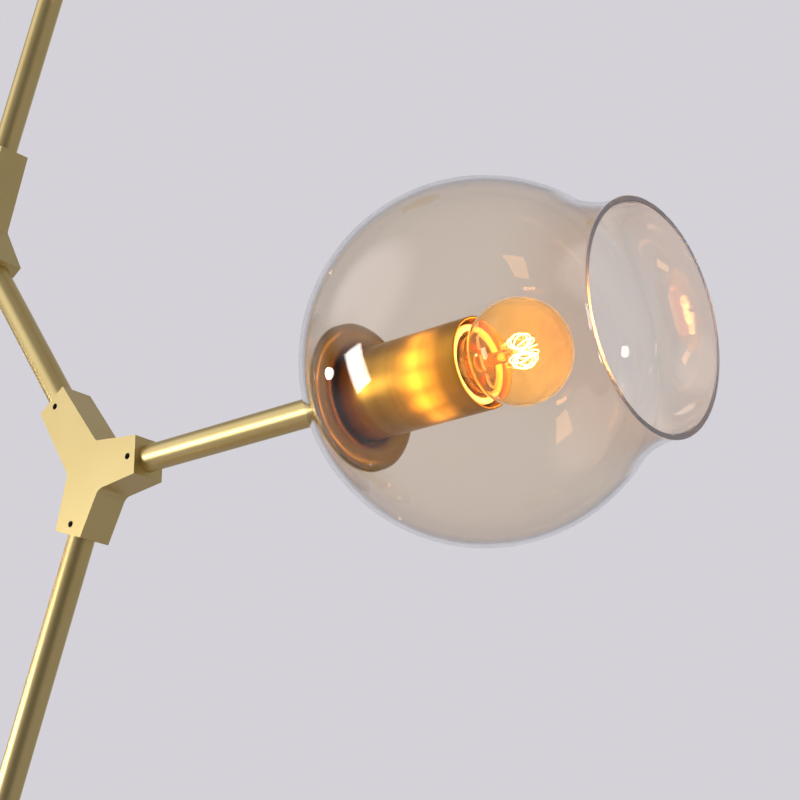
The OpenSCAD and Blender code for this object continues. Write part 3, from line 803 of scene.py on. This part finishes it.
# %% Filament wire
COIL_RING_R, COIL_RING_Z = 4.2, BALL_Z + 1
COIL_R, COIL_HALF_L, WIRE_R = 2.95, 4.6, 0.24
COIL_TURNS = 10
COIL_STEPS = 28
COIL_FROM, COIL_SWEEP = -60, 300
HOOKS = (-45, 45, 135, 225)
HOOK_FOOT, HOOK_WIRE_R = (2.9, BALL_Z - 7), 0.2


def wire(path, radius, sides=6):
    """Vertices and faces of a wire that follows the points of a path."""
    verts, faces = [], []
    for i, point in enumerate(path):
        ahead = path[min(i + 1, len(path) - 1)] - path[max(i - 1, 0)]
        side = ahead.cross(Vector((0.3, 0.2, 1.0))).normalized()
        up = side.cross(ahead).normalized()
        for s in range(sides):
            angle = 2 * math.pi * s / sides
            verts.append(point + radius * (math.cos(angle) * side + math.sin(angle) * up))
    for i in range(len(path) - 1):
        for s in range(sides):
            t = (s + 1) % sides
            faces.append((i * sides + s, i * sides + t,
                          (i + 1) * sides + t, (i + 1) * sides + s))
    last = (len(path) - 1) * sides
    faces += [tuple(range(sides)), tuple(range(last + sides - 1, last - 1, -1))]
    return verts, faces


def coil_path():
    path = []
    steps = COIL_TURNS * COIL_STEPS
    for i in range(steps + 1):
        round_ring = math.radians(COIL_FROM + COIL_SWEEP * i / steps)
        wind = 2 * math.pi * i / COIL_STEPS
        radius = COIL_RING_R + COIL_R * math.cos(wind)
        path.append(Vector((radius * math.cos(round_ring), radius * math.sin(round_ring),
                            COIL_RING_Z + COIL_HALF_L * math.sin(wind))))
    return path


def hook_path(turn):
    angle = math.radians(turn)
    tip = (COIL_RING_R, COIL_RING_Z - COIL_HALF_L)
    points = []
    for share in even(0, 1, 6):
        radius = HOOK_FOOT[0] + (tip[0] - HOOK_FOOT[0]) * share
        height = HOOK_FOOT[1] + (tip[1] - HOOK_FOOT[1]) * share ** 0.9
        points.append(Vector((radius * math.cos(angle), radius * math.sin(angle), height)))
    return points


def filament(head):
    verts, faces = wire(coil_path(), WIRE_R)
    coil_faces = len(faces)
    for turn in HOOKS:
        more_verts, more_faces = wire(hook_path(turn), HOOK_WIRE_R)
        faces += [tuple(len(verts) + v for v in face) for face in more_faces]
        verts += more_verts
    face_finish = [0] * coil_faces + [1] * (len(faces) - coil_faces)
    piece = finished_mesh(head + "_filament_coil", verts, faces, HEAD_PLACE[head],
                          [GLOWING_TUNGSTEN, NICKEL], face_finish)
    return fit(piece, head + "_bulb", head + "_filament")


for head in HEAD_TURN:
    bulb_glass(head)
    bulb_cap(head)
    bulb_stem(head)
    filament(head)
print("bulbs:", len(HEAD_TURN), "with", COIL_TURNS, "turns in each coil")

# %% [markdown]
# ## Rods, stem and canopy
# The rods are plain drawn tube, 12.7 mm across, with broken edges at their cut ends. The
# canopy is a spun pan with one generous corner. All are lathe work again.

# %% Rods, stem and canopy
ROD_EASE = 0.3
LINK_PLAY = 0.3
BLOCK_CORE = 12.0
STEM_TOP = -22.5
CANOPY_R, CANOPY_WALL, CANOPY_CORNER = 60.0, 1.2, 6.0
CANOPY_HOLE_R = ROD_R + 0.3
CEILING = Matrix.Scale(MM, 4)


def tube(low, high):
    """Outline of a rod, with its outer edges broken by a small chamfer."""
    return [(SLEEVE_R, low), (ROD_R - ROD_EASE, low), (ROD_R, low + ROD_EASE),
            (ROD_R, high - ROD_EASE), (ROD_R - ROD_EASE, high), (SLEEVE_R, high)]


def head_rod(head):
    low = BOSS_BACK - ROD_SHOWN[head] - SHORT_ARM + BLOCK_CORE
    return on_head(head, "_rod_drawn", [(tube(low, BOSS_BACK), SATIN_GOLD)],
                   "_rod")


def canopy():
    lip_r = CANOPY_WALL / 2
    at = (CANOPY_R - CANOPY_CORNER, CANOPY_CORNER - CANOPY_H)
    lip = arc((CANOPY_R - lip_r, -lip_r), lip_r, 0, 180, 6)
    outline = [(CANOPY_HOLE_R, -CANOPY_H)] + arc(at, CANOPY_CORNER, -90, 0, 14) + lip
    outline += arc(at, CANOPY_CORNER - CANOPY_WALL, 0, -90, 14)
    outline += [(CANOPY_HOLE_R, CANOPY_WALL - CANOPY_H)]
    return turned("canopy_spun", CEILING, [(outline, SATIN_GOLD)])


for head in HEAD_TURN:
    head_rod(head)
stem = turned("stem_drawn", CEILING,
              [(tube(UPPER_BLOCK.z + BLOCK_CORE, STEM_TOP), SATIN_GOLD)])
fit(stem, "upper_frame", "stem")
LINK_SPAN = SHORT_ARM + LINK_SHOWN + LONG_ARM
link = turned("link_rod_drawn", placing(UPPER_BLOCK, ARM_ANGLE),
              [(tube(BLOCK_CORE, LINK_SPAN - BLOCK_CORE - LINK_PLAY), SATIN_GOLD)])
fit(link, "upper_frame", "link_rod")
fit(canopy(), "canopy_cover", "canopy")
print("link rod shows", LINK_SHOWN, "mm, stem shows", STEM_SHOWN, "mm")

# %% [markdown]
# ## Y blocks
# The blocks are milled from thick flat bar: a Y outline with a tapering arm for each rod,
# a bored socket in every arm end, and a small grub hole on the front. The outline is drawn
# in code with its three inner fillets, pulled up to a slab, and bored by boolean cutters,
# which is just how the mill does it. A bevel then breaks every edge, because a real edge
# always catches a thin line of light.

# %% Block outline
ARM_END_W = 18.5
SIDE_CORNER, FORK_CORNER = (11.3, 7.2), (0.0, -14.7)
SIDE_FILLET, FORK_FILLET = 3.0, 5.0
ARMS = ((0, LONG_ARM), (ARM_ANGLE, SHORT_ARM), (-ARM_ANGLE, SHORT_ARM))
EDGE_BREAK = 0.4


def flat(turn, distance, across):
    """A point of the outline: so far out along an arm, and so far to its side."""
    angle = math.radians(turn)
    return Vector((distance * math.sin(angle) + across * math.cos(angle),
                   distance * math.cos(angle) - across * math.sin(angle)))


def rounded_corner(before, corner, after, radius, steps=8):
    to_before, to_after = (before - corner).normalized(), (after - corner).normalized()
    half = math.acos(to_before.dot(to_after)) / 2
    centre = corner + (to_before + to_after).normalized() * radius / math.sin(half)
    first = corner + to_before * radius / math.tan(half) - centre
    last = corner + to_after * radius / math.tan(half) - centre
    sweep = math.atan2(first.cross(last), first.dot(last))
    return [centre + Matrix.Rotation(a, 2) @ first for a in even(0, sweep, steps)]


def block_outline():
    inner = ((Vector(SIDE_CORNER), SIDE_FILLET), (Vector(FORK_CORNER), FORK_FILLET),
             (Vector((-SIDE_CORNER[0], SIDE_CORNER[1])), SIDE_FILLET))
    ends = [[flat(turn, reach, side * ARM_END_W / 2) for side in (-1, 1)] for turn, reach in ARMS]
    outline = []
    for i, (corner, fillet) in enumerate(inner):
        next_end = ends[(i + 1) % len(ends)]
        outline += ends[i] + rounded_corner(ends[i][1], corner, next_end[0], fillet)
    return outline


print("points in the outline:", len(block_outline()))

# %% Cutting the blocks
SOCKET_R = 6.4
LEAD_BORE_R = 4.0
GRUB_R, GRUB_FROM_END = 1.55, 4.8


def drill(radius, low, high, place, segments=64):
    middle = place @ Matrix.Translation((0, 0, (low + high) / 2))
    shape = bmesh.new()
    bmesh.ops.create_cone(shape, cap_ends=True, segments=segments, radius1=radius,
                          radius2=radius, depth=high - low, matrix=middle)
    mesh = bpy.data.meshes.new("drill")
    shape.to_mesh(mesh)
    shape.free()
    return in_scene("drill", mesh)


def apply_modifiers(piece):
    seen = piece.evaluated_get(bpy.context.evaluated_depsgraph_get())
    mesh = bpy.data.meshes.new_from_object(seen)
    piece.modifiers.clear()
    piece.data = mesh


def y_block(name, place):
    outline = block_outline()
    count = len(outline)
    verts = [(p.x, y, p.y) for y in (-BLOCK_T / 2, BLOCK_T / 2) for p in outline]
    faces = [tuple(range(count)), tuple(range(2 * count - 1, count - 1, -1))]
    faces += [(i, (i + 1) % count, count + (i + 1) % count, count + i) for i in range(count)]
    piece = finished_mesh(name, verts, faces, Matrix(), [SATIN_GOLD])
    into_front = Matrix.Rotation(math.pi / 2, 4, "X")
    cutters = []
    for turn, reach in ARMS:
        down_arm = Matrix.Rotation(math.radians(turn), 4, "Y")
        grub_at = Matrix.Translation(along(turn, reach - GRUB_FROM_END))
        cutters += [drill(SOCKET_R, BLOCK_CORE, reach + 5, down_arm, 96),
                    drill(LEAD_BORE_R, 0, BLOCK_CORE + 1, down_arm),
                    drill(GRUB_R, 0, BLOCK_T, grub_at @ into_front, 32)]
    for cutter in cutters:
        cut = piece.modifiers.new("cut", "BOOLEAN")
        cut.operation = "DIFFERENCE"
        cut.solver = "EXACT"
        cut.object = cutter
    apply_modifiers(piece)
    for cutter in cutters:
        bpy.data.objects.remove(cutter)
    edges = piece.modifiers.new("edges", "BEVEL")
    edges.width = EDGE_BREAK
    edges.segments = 3
    edges.limit_method = "ANGLE"
    edges.angle_limit = math.radians(SHARP_ANGLE)
    edges.harden_normals = True
    apply_modifiers(piece)
    piece.data.transform(place)
    return piece


upper = y_block("upper_block_milled", placing(UPPER_BLOCK, 0))
lower = y_block("lower_block_milled", placing(LOWER_BLOCK, ARM_ANGLE + 180))
fit(upper, "upper_frame", "upper_block")
fit(lower, "lower_frame", "lower_block")
print("block faces:", len(upper.data.polygons), len(lower.data.polygons))

# %% [markdown]
# ## Pieces that keep their own solids
# Plate, nuts, threaded tubes, leads and screws are right as they come from the frame. Each
# gets its finish on its own material slots, by what the piece is made of.

# %% Dress the rest
FINISH_BY_NODE = {
    "ceiling_plate": ZINC, "plate_nipple": ZINC, "plate_nuts": ZINC, "earth_screw": ZINC,
    "terminal_block": NYLON, "supply_lead": SHEATH, "upper_wiring": SHEATH,
    "lower_wiring": SHEATH, "canopy_collar": SATIN_GOLD, "collar_screw": BLACKENED,
    "upper_block_screws": BLACKENED, "lower_block_screws": BLACKENED,
}
for head in HEAD_TURN:
    FINISH_BY_NODE.update({head + "_gaskets": SILICONE, head + "_nipple": ZINC,
                           head + "_contact": BRIGHT_BRASS})
for node, finish in FINISH_BY_NODE.items():
    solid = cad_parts[node]
    for material_slot in solid.material_slots:
        material_slot.material = finish
print("solids kept:", len(FINISH_BY_NODE))

# %% [markdown]
# ## Floor
# The light hangs in a plain pale room. The floor is a round sheet under it that catches
# the shadow and then fades away with distance, so that it runs into the pale background
# without a horizon line. It is painted board, rolled matt, so it has no mirror of its own.

# %% Floor
FLOOR_Z = cad_box[0][2] - 0.6
FLOOR_R = 3.0
FLOOR_FADE = (0.9, FLOOR_R - 0.2)
FLOOR_LIGHT = "#DAD8DE"
FLOOR_DEEP = "#D6D4DA"
MOTTLE_MM = 1250


def floor_paint():
    material, tree, place = new_material("pale_matt_floor")
    mottle = add(tree, "ShaderNodeTexNoise",
                 {"Vector": place, "Scale": spots(MOTTLE_MM), "Detail": 2.0})
    colour = add(tree, "ShaderNodeMix",
                 {"Factor": mottle, "A": linear(FLOOR_LIGHT), "B": linear(FLOOR_DEEP)},
                 data_type="RGBA")
    paint = add(tree, "ShaderNodeBsdfDiffuse", {"Color": colour})
    gone = add(tree, "ShaderNodeBsdfTransparent")
    distance = add(tree, "ShaderNodeVectorMath", {0: place}, operation="LENGTH")
    fade = add(tree, "ShaderNodeMapRange",
               {"Value": distance, "From Min": FLOOR_FADE[0], "From Max": FLOOR_FADE[1]},
               interpolation_type="SMOOTHSTEP")
    surface = add(tree, "ShaderNodeMixShader", {0: fade, 1: paint, 2: gone})
    add(tree, "ShaderNodeOutputMaterial", {"Surface": surface})
    return material


def add_floor():
    shape = bmesh.new()
    bmesh.ops.create_circle(shape, cap_ends=True, segments=96, radius=FLOOR_R)
    mesh = bpy.data.meshes.new("floor")
    shape.to_mesh(mesh)
    shape.free()
    mesh.materials.append(floor_paint())
    floor = in_scene("floor", mesh)
    floor.location = (LOWER_BLOCK.x * MM, 0, FLOOR_Z)
    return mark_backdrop(floor)


add_floor()
print("floor at", round(FLOOR_Z, 3), "m")

# %% [markdown]
# ## The room as a background
# The photograph has a plain lilac-grey background that the camera sees evenly. The metal
# shows that the rest of the room is much darker, but for a bright wall high on the left,
# which lights up the faces of the blocks. The side of the room where the camera stands is
# dim, and so is an opening low on the left, which the globe mirrors over the dish. So the
# world is the pale colour for the camera and straight through glass, those brighter and
# darker places for anything mirrored, and a plain level for lighting matt surfaces. The
# places are round patches with soft edges, and their levels add up.

# %% World


def in_view(right, up, back):
    """A direction told from the camera: to its right, up, and back towards it."""
    return right * view_right + up * view_up + back * view_back


BACKDROP = "#D4D2D8"
MATT_LEVEL = 0.8
BEHIND_LIGHT = in_view(0, 0, -1)
# Towards what, level away from it and in it, cosine where its edge begins and ends.
ROOM = (
    (BEHIND_LIGHT, 0.52, 1.0, 0.82, 0.96),
    (in_view(-0.870, 0.490, -0.050), 0.0, 1.22, 0.84, 0.97),
    (in_view(-0.985, 0.050, -0.165), 0.0, -0.45, 0.92, 0.985),
    (BEHIND_LIGHT, -0.34, 0.0, -0.97, -0.75),
)


def mirrored_room(tree):
    toward = add(tree, "ShaderNodeTexCoord").outputs["Generated"]
    level = None
    for axis, outside, inside, begin, end in ROOM:
        facing = add(tree, "ShaderNodeVectorMath", {0: toward, 1: axis},
                     operation="DOT_PRODUCT")
        patch = add(tree, "ShaderNodeMapRange",
                    {"Value": facing, "From Min": begin, "From Max": end,
                     "To Min": outside, "To Max": inside}, interpolation_type="SMOOTHSTEP")
        if level:
            patch = add(tree, "ShaderNodeMath", {0: level, 1: patch}, operation="ADD")
        level = patch
    return level


def room_light():
    world = bpy.data.worlds.new("pale_room")
    bpy.context.scene.world = world
    world.use_nodes = True
    tree = world.node_tree
    tree.nodes.clear()
    path = add(tree, "ShaderNodeLightPath").outputs
    mirrored = add(tree, "ShaderNodeMath", {0: path["Glossy Depth"], 1: 0.5},
                   operation="GREATER_THAN")
    straight = add(tree, "ShaderNodeMath",
                   {0: path["Is Camera Ray"], 1: path["Is Transmission Ray"]},
                   operation="MAXIMUM")
    seen = add(tree, "ShaderNodeMath", {0: straight, 1: mirrored},
               operation="SUBTRACT", use_clamp=True)
    unseen = add(tree, "ShaderNodeMix",
                 {"Factor": mirrored, "A": MATT_LEVEL, "B": mirrored_room(tree)},
                 data_type="FLOAT")
    level = add(tree, "ShaderNodeMix", {"Factor": seen, "A": unseen, "B": 1.0},
                data_type="FLOAT")
    light = add(tree, "ShaderNodeBackground", {"Color": linear(BACKDROP), "Strength": level})
    add(tree, "ShaderNodeOutputWorld", {"Surface": light})


room_light()
print("room patches:", len(ROOM))

# %% [markdown]
# ## Lamps
# A rectangular softbox at the front left draws the four-sided highlight on the globe, and
# a small round lamp beside it draws the round one. Where their reflections sit on the
# glass gives their places. A wide soft lamp overhead only adds light. A lamp's brightness
# is written as what a mirror would show of it, where 1 is white.

# %% Lamps
RIGHT_GLOBE = GLOBE_AT["right"]
LAMP_DISTANCE = 1.3
OVERHEAD_DISTANCE = 2.2


def softbox(name, aim, toward, distance, size, brightness, up, colour="#FFFFFF"):
    lamp = bpy.data.lights.new(name, "AREA")
    lamp.shape = "RECTANGLE"
    lamp.size, lamp.size_y = size
    lamp.energy = brightness * math.pi * size[0] * size[1]
    lamp.color = linear(colour)[:3]
    stand = in_scene(name, lamp)
    back = toward.normalized()
    right = up.cross(back).normalized()
    turn = Matrix((right, back.cross(right), back)).transposed().to_4x4()
    stand.matrix_world = Matrix.Translation(aim * MM + back * distance) @ turn
    return stand


def hide_from(stand, *rays):
    for ray in rays:
        setattr(stand, "visible_" + ray, False)


softbox("front_softbox", RIGHT_GLOBE, in_view(-0.992, -0.050, 0.100), LAMP_DISTANCE,
        (0.30, 0.44), 9.5, in_view(0, 0.914, -0.407))
small = softbox("small_front_lamp", RIGHT_GLOBE, in_view(-0.937, -0.064, -0.342),
                LAMP_DISTANCE, (0.17, 0.10), 20.0, view_up)
small.data.shape = "ELLIPSE"
overhead = softbox("top_softbox", LOWER_BLOCK, Vector((0.3, -0.5, 1.0)), OVERHEAD_DISTANCE,
                   (1.4, 1.4), 0.7, Vector((0, 0, 1)))
hide_from(overhead, "glossy", "transmission")
print("highlights from", small.name, "and the front softbox")

# %% [markdown]
# ### Light that the glass throws back
# The inside of a globe is a curved mirror, and it gathers part of the filament's light in
# a warm band round the cup. Finding that by chance takes a renderer far too many samples,
# so small warm lamps stand where the mirror images of the filament would be, one for each
# step round the band. They are hidden from the camera, and only what they light is seen.

# %% Bounced light
RIGHT_AXIS = along(HEAD_TURN["right"], 1.0)
TOWARD_EYE = (view_back - view_back.dot(RIGHT_AXIS) * RIGHT_AXIS).normalized()
BAND_DEPTH = -15
BAND_STEPS = (-52, -26, 0, 26, 52)
BAND_BRIGHTNESS = 9.0
IMAGE_OUT, IMAGE_BACK = 36, 27
IMAGE_SIZE = (0.034, 0.012)


def round_axis(degrees):
    return Quaternion(RIGHT_AXIS, math.radians(degrees)) @ TOWARD_EYE


def bounced_light(degrees):
    """A hidden warm lamp that the brass reflects at this angle round the cup."""
    lit = RIGHT_GLOBE + BAND_DEPTH * RIGHT_AXIS + CUP_R * round_axis(degrees)
    to_image = IMAGE_OUT * round_axis(2 * degrees) - IMAGE_BACK * RIGHT_AXIS
    brightness = BAND_BRIGHTNESS * math.cos(math.radians(degrees)) ** 2
    lamp = softbox("bounced_filament", lit, to_image, to_image.length * MM, IMAGE_SIZE,
                   brightness, RIGHT_AXIS, FILAMENT_WARM)
    hide_from(lamp, "camera", "transmission")


for degrees in BAND_STEPS:
    bounced_light(degrees)

# %% [markdown]
# The last line sets the picture's view transform to Standard.

# %% Finish
bpy.context.scene.view_settings.view_transform = "Standard"
